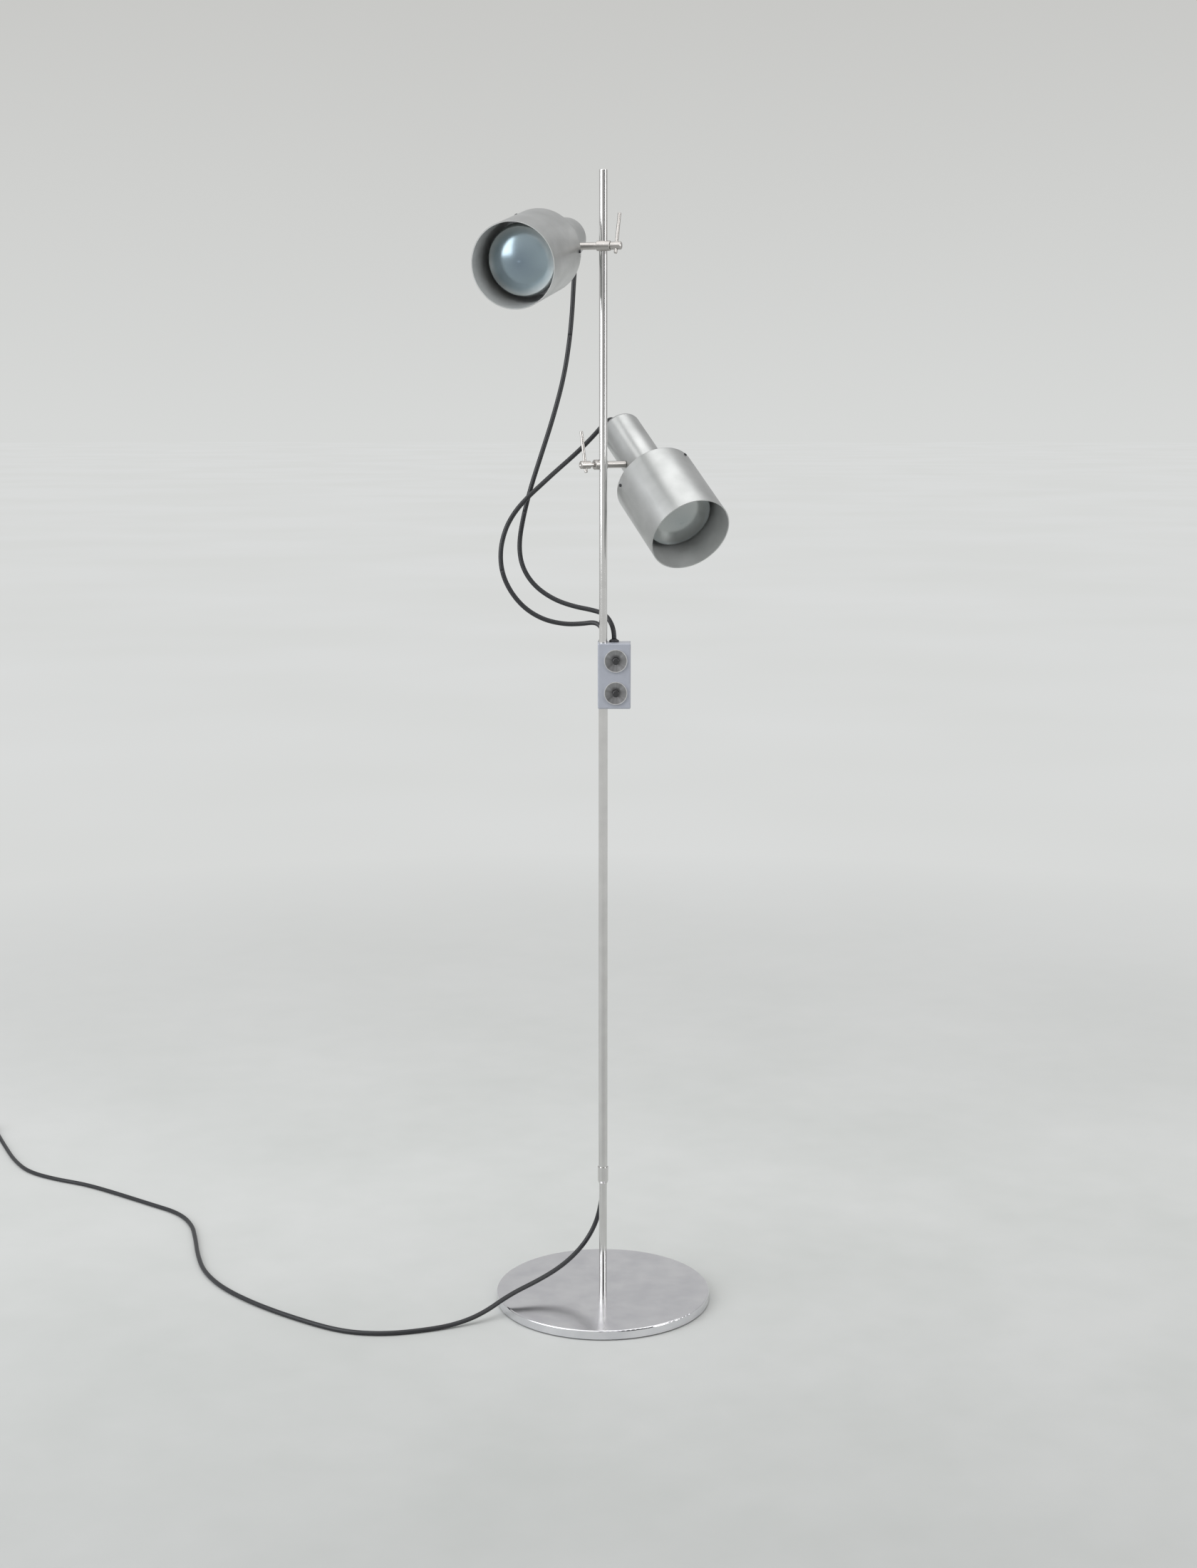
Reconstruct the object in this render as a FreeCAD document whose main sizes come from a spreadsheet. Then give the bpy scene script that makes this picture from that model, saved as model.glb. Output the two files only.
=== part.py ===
# Free-standing twin spotlight floor lamp: a heavy turned disc, a slim pole, a switch box with two
# push buttons, and two spotlights that clamp to the pole.  Millimetres, +Z up, the origin is on the
# floor under the middle of the disc, and -Y is the front, where the switch box faces.
import FreeCAD, Part
import math
import os
import re
import Sketcher

V = FreeCAD.Vector
doc = FreeCAD.newDocument("floor_lamp")

# ---------------------------------------------------------------- driving sizes
SIZES = {
    # gaps: a running fit, a snug one, and the air between parts that mustn't touch
    "close_fit": 0.05, "snug_fit": 0.03, "air_gap": 0.3,
    # base
    "base_dia": 304.8, "base_thick": 12.7, "base_round": 2.0, "base_recess_dia": 34.0,
    "base_recess_depth": 7.5, "foot_pad_thick": 1.5, "foot_pad_inset": 5.0,
    "stud_dia": 8.0, "nut_flats": 13.0, "nut_thick": 5.0, "washer_dia": 24.0, "washer_thick": 1.6,
    # pole
    "lamp_height": 1575.0, "rod_dia": 11.1, "rod_bore": 8.0, "rod_end_round": 1.0,
    "tube_dia": 12.7, "socket_depth": 30.0, "collar_dia": 15.0, "collar_length": 23.4,
    "collar_bottom": 173.7, "grub_dia": 4.0, "rod_floor": 18.0, "flex_dia": 6.5,
    "cord_exit_height": 163.0,
    # switch box
    "box_bottom": 857.0, "box_height": 90.0, "box_width": 45.0, "box_depth": 31.0, "box_shift": 15.1,
    "box_wall": 1.2, "box_round": 2.0, "dial_dia": 31.5, "dial_thick": 2.4, "dial_dish": 1.7,
    "dial_shift": 17.1, "dial_spacing": 44.4, "dial_below_top": 23.7, "button_dia": 9.4,
    "button_proud": 7.0, "button_sunk": 3.7, "button_travel": 3.0, "button_gap": 0.3,
    "switch_dia": 16.0, "switch_depth": 17.0,
    "cover_screw_dia": 3.0, "cover_screw_head": 5.6, "post_dia": 6.0, "post_sunk": 0.6, "rod_screw_dia": 3.5,
    "terminal_width": 10.0, "terminal_height": 40.0, "terminal_depth": 8.0,
    "grommet_flange": 13.5, "small_flange": 9.2, "grommet_rise": 4.0,
    "right_cord_shift": 15.0, "right_cord_back": 8.0, "left_cord_shift": 1.5, "left_cord_back": 10.6,
    # clamps and arms
    "lower_clamp_height": 1188.0, "upper_clamp_height": 1476.0, "lower_swing": 27.1,
    "upper_swing": 163.8, "lower_dip": 33.8, "upper_dip": 11.7, "lower_reach": 64.2,
    "upper_reach": 73.5, "clamp_dia": 13.5, "clamp_offset": 5.0, "clamp_tail": 7.6,
    "clamp_head": 11.5, "sleeve_wall": 0.5, "screw_dia": 6.0, "screw_head_dia": 10.6,
    "screw_head_length": 14.5, "lower_screw_out": 6.0, "upper_screw_out": 0.6,
    "bar_dia": 4.6, "bar_above": 46.0, "bar_below": 10.6, "lower_bar_lean": -15.0,
    "upper_bar_lean": 20.0,
    "arm_dia": 9.5, "arm_spigot_dia": 7.0, "arm_nut_flats": 11.0, "arm_nut_thick": 3.0,
    # spotlights
    "shade_dia": 112.0, "shade_length": 119.4, "shade_wall": 1.2, "shade_start": 40.0,
    "shade_hole_dia": 50.0, "shade_round": 1.6, "housing_dia": 56.4, "housing_back": 83.0,
    "housing_wall": 1.2, "housing_round": 5.0, "carrier_lip": 12.0, "carrier_gap": 0.1,
    "shade_screw_dia": 3.0, "shade_screw_head": 4.4, "shade_screw_back": 6.5,
    "holder_dia": 40.0, "holder_front": 19.0, "holder_back": 44.0, "holder_bore": 27.0,
    "bulb_dia": 95.0, "bulb_face": 133.0, "bulb_length": 138.0, "bulb_cap_dia": 26.4,
    "bulb_cap_length": 25.0, "nipple_dia": 10.0, "gland_dia": 13.0, "gland_length": 14.0,
    # mains lead
    "cord_dia": 6.5, "relief_length": 24.0, "relief_dia": 10.0,
    "coil_radius": 41.0, "coil_pitch": 7.2, "coil_layer": 7.1, "coil_tail": 50.0,
    "plug_width": 50.0, "plug_length": 46.0, "plug_thick": 21.0,
}

sheet = doc.addObject("Spreadsheet::Sheet", "sizes")
for row, (word, number) in enumerate(SIZES.items(), start=1):
    sheet.set(f"A{row}", word)
    sheet.set(f"B{row}", str(number))
    sheet.setAlias(f"B{row}", word)
doc.recompute()


def value(expression):
    """The number that an expression over the cells comes to now."""
    return float(sheet.evalExpression(expression))


def tied(expression):
    """The same expression with every cell named through the sheet, for setExpression."""
    def through_sheet(word):
        return "sizes." + word[0] if word[0] in SIZES else word[0]

    return re.sub(r"[a-z][a-z_]+", through_sheet, expression)


# ---------------------------------------------------------------- helpers
NODES = {}


def keep(label, piece):
    """Name a finished piece; its label is also its file name."""
    piece.Label = label
    NODES[label] = piece
    return piece


def put(piece, at):
    """Tie a piece's place to the sheet, axis by axis; a plain "0" is left free."""
    for axis, place in zip("xyz", at):
        if place != "0":
            piece.setExpression("Placement.Base." + axis, tied(place))


def cylinder(radius, length, at=("0", "0", "0"), along="z"):
    """A cylinder whose sizes and place are tied to the sheet."""
    rod = doc.addObject("Part::Cylinder", "cylinder")
    rod.setExpression("Radius", tied(radius))
    rod.setExpression("Height", tied(length))
    turns = {"x": (V(0, 1, 0), 90), "y": (V(1, 0, 0), -90), "z": (V(0, 0, 1), 0)}
    rod.Placement = FreeCAD.Placement(V(), FreeCAD.Rotation(*turns[along]))
    put(rod, at)
    return rod


def block(width, depth, height, at):
    """A box tied to the sheet, given by its low corner."""
    brick = doc.addObject("Part::Box", "block")
    brick.setExpression("Length", tied(width))
    brick.setExpression("Width", tied(depth))
    brick.setExpression("Height", tied(height))
    put(brick, at)
    return brick


def hexagon(flats, length, at=("0", "0", "0"), along="z"):
    """A hexagonal bar by its width across flats."""
    bar = doc.addObject("Part::Prism", "hexagon")
    bar.Polygon = 6
    bar.setExpression("Circumradius", tied(f"({flats}) / sqrt(3)"))
    bar.setExpression("Height", tied(length))
    turns = {"x": (V(0, 1, 0), 90), "z": (V(0, 0, 1), 0)}
    bar.Placement = FreeCAD.Placement(V(), FreeCAD.Rotation(*turns[along]))
    put(bar, at)
    return bar


def joined(*pieces):
    """One solid from several."""
    fuse = doc.addObject("Part::MultiFuse", "joined")
    fuse.Shapes = list(pieces)
    return fuse


def less(base, *tools):
    """The base with the tools cut away, which have to take material from it."""
    cut = doc.addObject("Part::Cut", "cut")
    cut.Base = base
    cut.Tool = tools[0] if len(tools) == 1 else joined(*tools)
    doc.recompute()
    if cut.Shape.Volume >= base.Shape.Volume - 1e-6:
        raise ValueError("a cut takes nothing from " + base.Label)
    return cut


def softened(base, radius, chosen):
    """The base with the chosen edges rounded."""
    doc.recompute()
    picked = [n for n, edge in enumerate(base.Shape.Edges, start=1) if chosen(edge)]
    fillet = doc.addObject("Part::Fillet", "softened")
    fillet.Base = base
    fillet.Edges = [(n, value(radius), value(radius)) for n in picked]
    return fillet


def lathe(outline, rounds=()):
    """A turned piece about Z.  The outline lists (radius, height) expressions in order, and rounds
    lists (radius, height, fillet) for the circular edges to be rounded."""
    body = doc.addObject("PartDesign::Body", "turned")
    plane = [item for item in body.Origin.OriginFeatures if item.Role == "XZ_Plane"][0]
    sketch = body.newObject("Sketcher::SketchObject", "outline")
    sketch.AttachmentSupport = [(plane, "")]
    sketch.MapMode = "FlatFace"
    spots = [(value(radius), value(height)) for radius, height in outline]
    count = len(spots)
    for n, (x, y) in enumerate(spots):
        far_x, far_y = spots[(n + 1) % count]
        sketch.addGeometry(Part.LineSegment(V(x, y, 0), V(far_x, far_y, 0)))
    for n in range(count):
        sketch.addConstraint(Sketcher.Constraint("Coincident", n, 2, (n + 1) % count, 1))
    for n, (radius, height) in enumerate(outline):
        for kind, axis, words, number in (("DistanceX", -2, radius, spots[n][0]),
                                          ("DistanceY", -1, height, spots[n][1])):
            if words == "0":
                sketch.addConstraint(Sketcher.Constraint("PointOnObject", n, 1, axis))
            else:
                tie = sketch.addConstraint(Sketcher.Constraint(kind, -1, 1, n, 1, number))
                sketch.setExpression(f"Constraints[{tie}]", tied(words))
    turn = body.newObject("PartDesign::Revolution", "turn")
    turn.Profile = sketch
    turn.ReferenceAxis = (sketch, ["V_Axis"])
    turn.Angle = 360
    doc.recompute()
    for radius, height, amount in rounds:
        feature = body.Tip
        names = [f"Edge{n}" for n, edge in enumerate(feature.Shape.Edges, start=1)
                 if is_circle(edge, value(radius), value(height))]
        fillet = body.newObject("PartDesign::Fillet", "rounding")
        fillet.Base = (feature, names)
        fillet.setExpression("Radius", tied(amount))
        doc.recompute()
    return body


def is_circle(edge, radius, height):
    """Whether an edge is the circle about Z of this radius at this height."""
    curve = edge.Curve
    if not isinstance(curve, Part.Circle):
        return False
    on_axis = math.hypot(curve.Center.x, curve.Center.y) < 1e-4
    return on_axis and abs(curve.Radius - radius) < 1e-3 and abs(curve.Center.z - height) < 1e-3


def shaped(label, shape, placement=FreeCAD.Placement()):
    """A piece whose shape is made in code."""
    piece = doc.addObject("Part::Feature", label)
    piece.Shape = shape
    piece.Placement = placement
    return keep(label, piece)


def turned(angle, axis=V(0, 0, 1), at=V(0, 0, 0)):
    """A placement that turns about an axis and then moves."""
    return FreeCAD.Placement(at, FreeCAD.Rotation(axis, angle))


# ---------------------------------------------------------------- base
def make_base():
    """The disc, the pad under it, and the nut that holds the pole's stud in its recess."""
    top = "foot_pad_thick + base_thick"
    ceiling = "foot_pad_thick + base_recess_depth"
    disc = lathe([("stud_dia / 2 + 0.2", ceiling), ("stud_dia / 2 + 0.2", top), ("base_dia / 2", top),
                  ("base_dia / 2", "foot_pad_thick"), ("base_recess_dia / 2", "foot_pad_thick"),
                  ("base_recess_dia / 2", ceiling)],
                 [("base_dia / 2", top, "base_round"), ("base_dia / 2", "foot_pad_thick", "base_round / 3")])
    keep("base_disc", disc)
    rim = "base_dia / 2 - foot_pad_inset"
    keep("foot_pad", lathe([("0", "0"), (rim, "0"), (rim, "foot_pad_thick"), ("0", "foot_pad_thick")]))
    washer = f"{ceiling} - washer_thick"
    keep("base_washer", lathe([("stud_dia / 2 + 0.2", washer), ("washer_dia / 2", washer),
                               ("washer_dia / 2", ceiling), ("stud_dia / 2 + 0.2", ceiling)]))
    nut = hexagon("nut_flats", "nut_thick", ("0", "0", f"{washer} - nut_thick"))
    hole = cylinder("stud_dia / 2 + close_fit", "nut_thick + 2", ("0", "0", f"{washer} - nut_thick - 1"))
    keep("base_nut", less(nut, hole))


# ---------------------------------------------------------------- pole
def make_pole():
    """The lower rod on the disc, the tube over it with its collar, and the upper rod in the tube."""
    top = "foot_pad_thick + base_thick"
    stud_end = "foot_pad_thick + base_recess_depth - washer_thick - nut_thick - air_gap"
    rod_top = "collar_bottom + socket_depth"
    floor = f"{top} + rod_floor"
    lower = lathe([("0", stud_end), ("stud_dia / 2", stud_end), ("stud_dia / 2", top), ("rod_dia / 2", top),
                   ("rod_dia / 2", rod_top), ("rod_bore / 2", rod_top), ("rod_bore / 2", floor),
                   ("0", floor)])
    side_hole = cylinder("cord_dia / 2", "rod_dia", ("0", "0", "cord_exit_height + 5"), "y")
    keep("lower_rod", less(lower, side_hole))
    step = "collar_bottom + 3"
    collar_top = "collar_bottom + collar_length"
    collar = lathe([("rod_dia / 2 + close_fit", "collar_bottom"), ("rod_dia / 2 + 1", "collar_bottom"),
                    ("collar_dia / 2", step), ("collar_dia / 2", collar_top),
                    ("tube_dia / 2 + close_fit", collar_top), ("tube_dia / 2 + close_fit", step),
                    ("rod_dia / 2 + close_fit", step)])
    grub_height = "collar_bottom + collar_length / 2"
    grub_hole = cylinder("grub_dia / 2 + close_fit", "collar_dia", ("0", "0", grub_height), "y")
    keep("collar", less(collar, grub_hole))
    wall = "(collar_dia - tube_dia) / 2"
    keep("collar_grub_screw",
         cylinder("grub_dia / 2", f"{wall} - 0.2", ("0", "tube_dia / 2 + 0.1", grub_height), "y"))
    keep("lower_tube", lathe([("rod_dia / 2 + close_fit", step), ("tube_dia / 2", step),
                              ("tube_dia / 2", "box_bottom"), ("rod_dia / 2 + close_fit", "box_bottom")]))
    foot = "box_bottom - socket_depth"
    ceiling = "lamp_height - 2 * rod_dia"
    upper = lathe([("rod_bore / 2", foot), ("rod_dia / 2", foot), ("rod_dia / 2", "lamp_height"),
                   ("0", "lamp_height"), ("0", ceiling), ("rod_bore / 2", ceiling)],
                  [("rod_dia / 2", "lamp_height", "rod_end_round")])
    window = block("rod_dia", "cord_dia", "box_height / 3", ("0", "-cord_dia / 2", "box_bottom + 6"))
    middle = "box_bottom + box_height / 2"
    screw_hole = cylinder("rod_screw_dia / 2 + close_fit", "rod_dia", ("0", "0", middle), "y")
    keep("upper_rod", less(upper, window, screw_hole))
    keep("inner_flex", cylinder("cord_dia / 2", "box_bottom + box_height / 3 - cord_exit_height - 12",
                                ("0", "0", "cord_exit_height + 12")))


# ---------------------------------------------------------------- switch box
def make_switch_box():
    """The box round the pole: shell, cover, dished dials, push buttons, switches and grommets."""
    left = "box_shift - box_width / 2"
    front = "-box_depth / 2"
    shell_depth = "box_depth - box_wall"
    outer = block("box_width", shell_depth, "box_height", (left, front, "box_bottom"))
    back = value(f"{front} + {shell_depth}")
    outer = softened(outer, "box_round", lambda edge: min(v.Y for v in edge.Vertexes) < back - 1e-3)
    inner = block("box_width - 2 * box_wall", "box_depth", "box_height - 2 * box_wall",
                  (f"{left} + box_wall", f"{front} + box_wall", "box_bottom + box_wall"))
    post_inset = "(box_wall + post_dia / 2 - post_sunk)"
    post_shift = f"{left} + box_width - {post_inset}"
    post_low = f"box_bottom + {post_inset}"
    post_high = f"box_bottom + box_height - {post_inset}"
    posts = [cylinder("post_dia / 2", "box_depth - 2 * box_wall",
                      (post_shift, f"{front} + box_wall", height), "y")
             for height in (post_low, post_high)]
    holes = [cylinder("cover_screw_dia / 2 + close_fit", "box_depth / 2", (post_shift, "2", height), "y")
             for height in (post_low, post_high)]
    holes.append(cylinder("rod_dia / 2 + close_fit", "box_height + 2", ("0", "0", "box_bottom - 1")))
    dial_top = "box_bottom + box_height - dial_below_top"
    dials = {"upper": dial_top, "lower": f"{dial_top} - dial_spacing"}
    for height in dials.values():
        holes.append(cylinder("button_dia / 2 + button_gap", "box_wall + 2",
                              ("dial_shift", f"{front} - 1", height), "y"))
    top = "box_bottom + box_height"
    for shift, rear in (("right_cord_shift", "right_cord_back"), ("-left_cord_shift", "left_cord_back")):
        holes.append(cylinder("cord_dia / 2 + 0.1", "box_wall + 2", (shift, rear, f"{top} - box_wall - 1")))
    keep("switch_box", less(joined(less(outer, inner), *posts), *holes))

    cover_front = f"{front} + {shell_depth}"
    cover = block("box_width", "box_wall", "box_height", (left, cover_front, "box_bottom"))
    cover_holes = [cylinder("cover_screw_dia / 2 + close_fit", "box_wall + 2",
                            (post_shift, f"{cover_front} - 1", height), "y")
                   for height in (post_low, post_high)]
    middle = "box_bottom + box_height / 2"
    cover_holes.append(cylinder("rod_screw_dia / 2 + close_fit", "box_wall + 2",
                                ("0", f"{cover_front} - 1", middle), "y"))
    keep("switch_box_cover", less(cover, *cover_holes))
    screws = []
    for height in (post_low, post_high):
        shank = cylinder("cover_screw_dia / 2", "box_depth / 3",
                         (post_shift, "box_depth / 2 - box_depth / 3", height), "y")
        head = cylinder("cover_screw_head / 2", "1.6", (post_shift, "box_depth / 2", height), "y")
        screws.append(joined(shank, head))
    doc.recompute()
    keep("cover_screws", joined(*screws))
    shank = cylinder("rod_screw_dia / 2", "box_depth / 2 - rod_bore / 2 - air_gap",
                     ("0", "rod_bore / 2 + air_gap", middle), "y")
    head = cylinder("rod_screw_dia", "2", ("0", "box_depth / 2", middle), "y")
    keep("rod_screw", joined(shank, head))
    terminals = block("terminal_width", "terminal_depth", "terminal_height",
                      ("dial_shift", f"{cover_front} - terminal_depth", f"{middle} - terminal_height / 2"))
    keep("terminal_block", terminals)

    facing = FreeCAD.Rotation(V(1, 0, 0), 90)
    for name, height in dials.items():
        hole = "button_dia / 2 + button_gap"
        dial = lathe([(hole, "0"), ("dial_dia / 2", "0"), ("dial_dia / 2", "dial_thick"),
                      ("dial_dia / 2 - 0.8", "dial_thick"), (hole, "dial_thick - dial_dish")])
        tip = "dial_thick + button_proud"
        button = lathe([("0", "-button_sunk"), ("button_dia / 2", "-button_sunk"), ("button_dia / 2", tip),
                        ("0", tip)],
                       [("button_dia / 2", tip, "button_dia / 6")])
        bore_end = "-(box_wall + button_sunk + button_travel)"
        switch = lathe([("0", "-box_wall - switch_depth"), ("switch_dia / 2", "-box_wall - switch_depth"),
                        ("switch_dia / 2", "-box_wall"), (hole, "-box_wall"), (hole, bore_end),
                        ("0", bore_end)])
        for kind, piece in (("dial", dial), ("button", button), ("push_switch", switch)):
            centre = V(value("dial_shift"), value(front), value(height))
            piece.Placement = FreeCAD.Placement(centre, facing)
            keep(f"{name}_{kind}", piece)
    for side, shift, rear, flange in (("right", "right_cord_shift", "right_cord_back", "grommet_flange"),
                                      ("left", "-left_cord_shift", "left_cord_back", "small_flange")):
        stem = "cord_dia / 2"
        grommet = lathe([("0", "-box_wall - 1"), (stem, "-box_wall - 1"), (stem, "0"), (f"{flange} / 2", "0"),
                         (f"{flange} / 2", "grommet_rise / 2"), ("cord_dia / 2 + 0.6", "grommet_rise"),
                         ("0", "grommet_rise")])
        grommet.Placement.Base = V(value(shift), value(rear), value(top))
        keep(f"{side}_grommet", grommet)


# ---------------------------------------------------------------- clamps and arms
SIDES = ("lower", "upper")


def clamp_frame(side):
    """The clamp's own frame: the pole is its Z axis and +X points along the arm to the spotlight."""
    return turned(value(f"{side}_swing"), at=V(0, 0, value(f"{side}_clamp_height")))


def head_frame(side):
    """The spotlight's own frame: origin where the arm's line meets its axis, +Z out of its mouth."""
    away = 90 + value(f"{side}_dip")
    if side == "upper":
        away = -away
    pivot = turned(away, V(1, 0, 0), V(value(f"{side}_reach"), value("clamp_offset"), 0))
    return clamp_frame(side).multiply(pivot)


def make_clamp(side):
    """Sleeve on the pole, cross-drilled clamp body, arm with its nut, screw and tommy bar."""
    frame = clamp_frame(side)
    sleeve_inner = "rod_dia / 2 + close_fit"
    sleeve_outer = f"{sleeve_inner} + sleeve_wall"
    high = "clamp_dia / 2 - 1"
    sleeve = lathe([(sleeve_inner, f"-({high})"), (sleeve_outer, f"-({high})"), (sleeve_outer, high),
                    (sleeve_inner, high)])
    hole_radius = f"{sleeve_outer} + close_fit"
    bar = cylinder("clamp_dia / 2", "clamp_head + clamp_tail", ("-clamp_head", "clamp_offset", "0"), "x")
    bar = softened(bar, "clamp_dia / 12", lambda edge: isinstance(edge.Curve, Part.Circle))
    pole_hole = cylinder(hole_radius, "clamp_dia + 2", ("0", "0", "-clamp_dia / 2 - 1"))
    screw_hole = cylinder("screw_dia / 2 + close_fit", "clamp_head",
                          ("-clamp_head - 1", "clamp_offset", "0"), "x")
    arm_hole = cylinder("arm_spigot_dia / 2 + snug_fit", "clamp_tail", ("4.2", "clamp_offset", "0"), "x")
    clamp = less(bar, pole_hole, screw_hole, arm_hole)
    wall_gap = "(housing_dia / 2 + air_gap)"
    arm = cylinder("arm_dia / 2", f"{side}_reach - {wall_gap} - clamp_tail",
                   ("clamp_tail", "clamp_offset", "0"), "x")
    spigot_end = f"{side}_reach - housing_dia / 2 + housing_wall + arm_nut_thick + 2.6"
    spigot_start = f"(sqrt(({hole_radius})^2 - (clamp_offset - arm_spigot_dia / 2)^2) + air_gap)"
    spigot = cylinder("arm_spigot_dia / 2", f"{spigot_end} - {spigot_start}",
                      (spigot_start, "clamp_offset", "0"), "x")
    nut_shift = "(sqrt((housing_dia / 2 - housing_wall)^2 - arm_nut_flats^2 / 3) - air_gap)"
    nut_start = f"{side}_reach - {nut_shift}"
    nut = hexagon("arm_nut_flats", "arm_nut_thick", (nut_start, "clamp_offset", "0"), "x")
    nut_hole = cylinder("arm_spigot_dia / 2 + snug_fit", "arm_nut_thick + 2",
                        (f"{nut_start} - 1", "clamp_offset", "0"), "x")
    pieces = {"sleeve": sleeve, "clamp": clamp, "arm": joined(arm, spigot), "arm_nut": less(nut, nut_hole)}

    head_start = f"clamp_head + {side}_screw_out"
    head_end = f"{head_start} + screw_head_length"
    tip_reach = f"sqrt(({hole_radius})^2 - (clamp_offset - screw_dia / 4)^2) + 0.35"
    shank_reach = f"sqrt(({hole_radius})^2 - (clamp_offset - screw_dia / 2)^2) + 0.6"
    thread = lathe([("0", tip_reach), ("screw_dia / 4", tip_reach), ("screw_dia / 2", shank_reach),
                    ("screw_dia / 2", head_start), ("screw_head_dia / 2", head_start),
                    ("screw_head_dia / 2", f"{head_end} - 1"), ("screw_head_dia / 2 - 1", head_end),
                    ("screw_dia / 3", head_end), ("0", f"{head_end} - 1.2")])
    thread.Placement = FreeCAD.Placement(V(0, value("clamp_offset"), 0), FreeCAD.Rotation(V(0, 1, 0), -90))
    bar_shift = f"-({head_end} - screw_head_length / 2)"
    lean = turned(value(f"{side}_bar_lean"), V(1, 0, 0), V(value(bar_shift), value("clamp_offset"), 0))
    cross = cylinder("bar_dia / 2 + snug_fit", "screw_head_dia + 2")
    cross.Placement = lean.multiply(turned(0, at=V(0, 0, -value("screw_head_dia / 2 + 1"))))
    tommy = cylinder("bar_dia / 2", "bar_above + bar_below")
    tommy = softened(tommy, "bar_dia / 8", lambda edge: isinstance(edge.Curve, Part.Circle))
    tommy.Placement = lean.multiply(turned(0, at=V(0, 0, -value("bar_below"))))
    pieces["clamp_screw"] = less(thread, cross)
    pieces["tommy_bar"] = tommy
    for name, piece in pieces.items():
        piece.Placement = frame.multiply(piece.Placement)
        keep(f"{side}_{name}", piece)


# ---------------------------------------------------------------- spotlights
SHADE_SCREW_ANGLES = (60, 180, 300)


def bulb_shell():
    """The reflector bulb's glass, open at its neck: a flared bowl with a softly domed face."""
    def side_curves(inset):
        face = value("bulb_face") - inset
        wide = value("bulb_dia / 2") - inset
        low = V(value("bulb_cap_dia / 2") - inset, 0, value("bulb_face - bulb_length + bulb_cap_length"))
        shoulder = V(0.93 * wide, 0, face - 0.74 * wide)
        crown = V(0.93 * wide, 0, face - 0.21 * wide)
        dome_radius = ((0.93 * wide) ** 2 + (0.21 * wide) ** 2) / (0.42 * wide)
        half_way = 0.5 * wide
        drop = dome_radius - math.sqrt(dome_radius ** 2 - half_way ** 2)
        flare = Part.Arc(low, V(0.55 * wide, 0, low.z + 0.36 * (face - 0.42 * wide - low.z)), shoulder)
        edge = Part.Arc(shoulder, V(wide, 0, face - 0.42 * wide), crown)
        dome = Part.Arc(crown, V(half_way, 0, face - drop), V(0, 0, face))
        return low, V(0, 0, face), [curve.toShape() for curve in (flare, edge, dome)]

    low, pole, outside = side_curves(0)
    low_in, pole_in, inside = side_curves(1.0)
    foot = Part.LineSegment(low_in, low).toShape()
    axis = Part.LineSegment(pole, pole_in).toShape()
    outline = Part.Wire([foot] + outside + [axis] + inside[::-1])
    return Part.Face(outline).revolve(V(0, 0, 0), V(0, 0, 1), 360)


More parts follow.
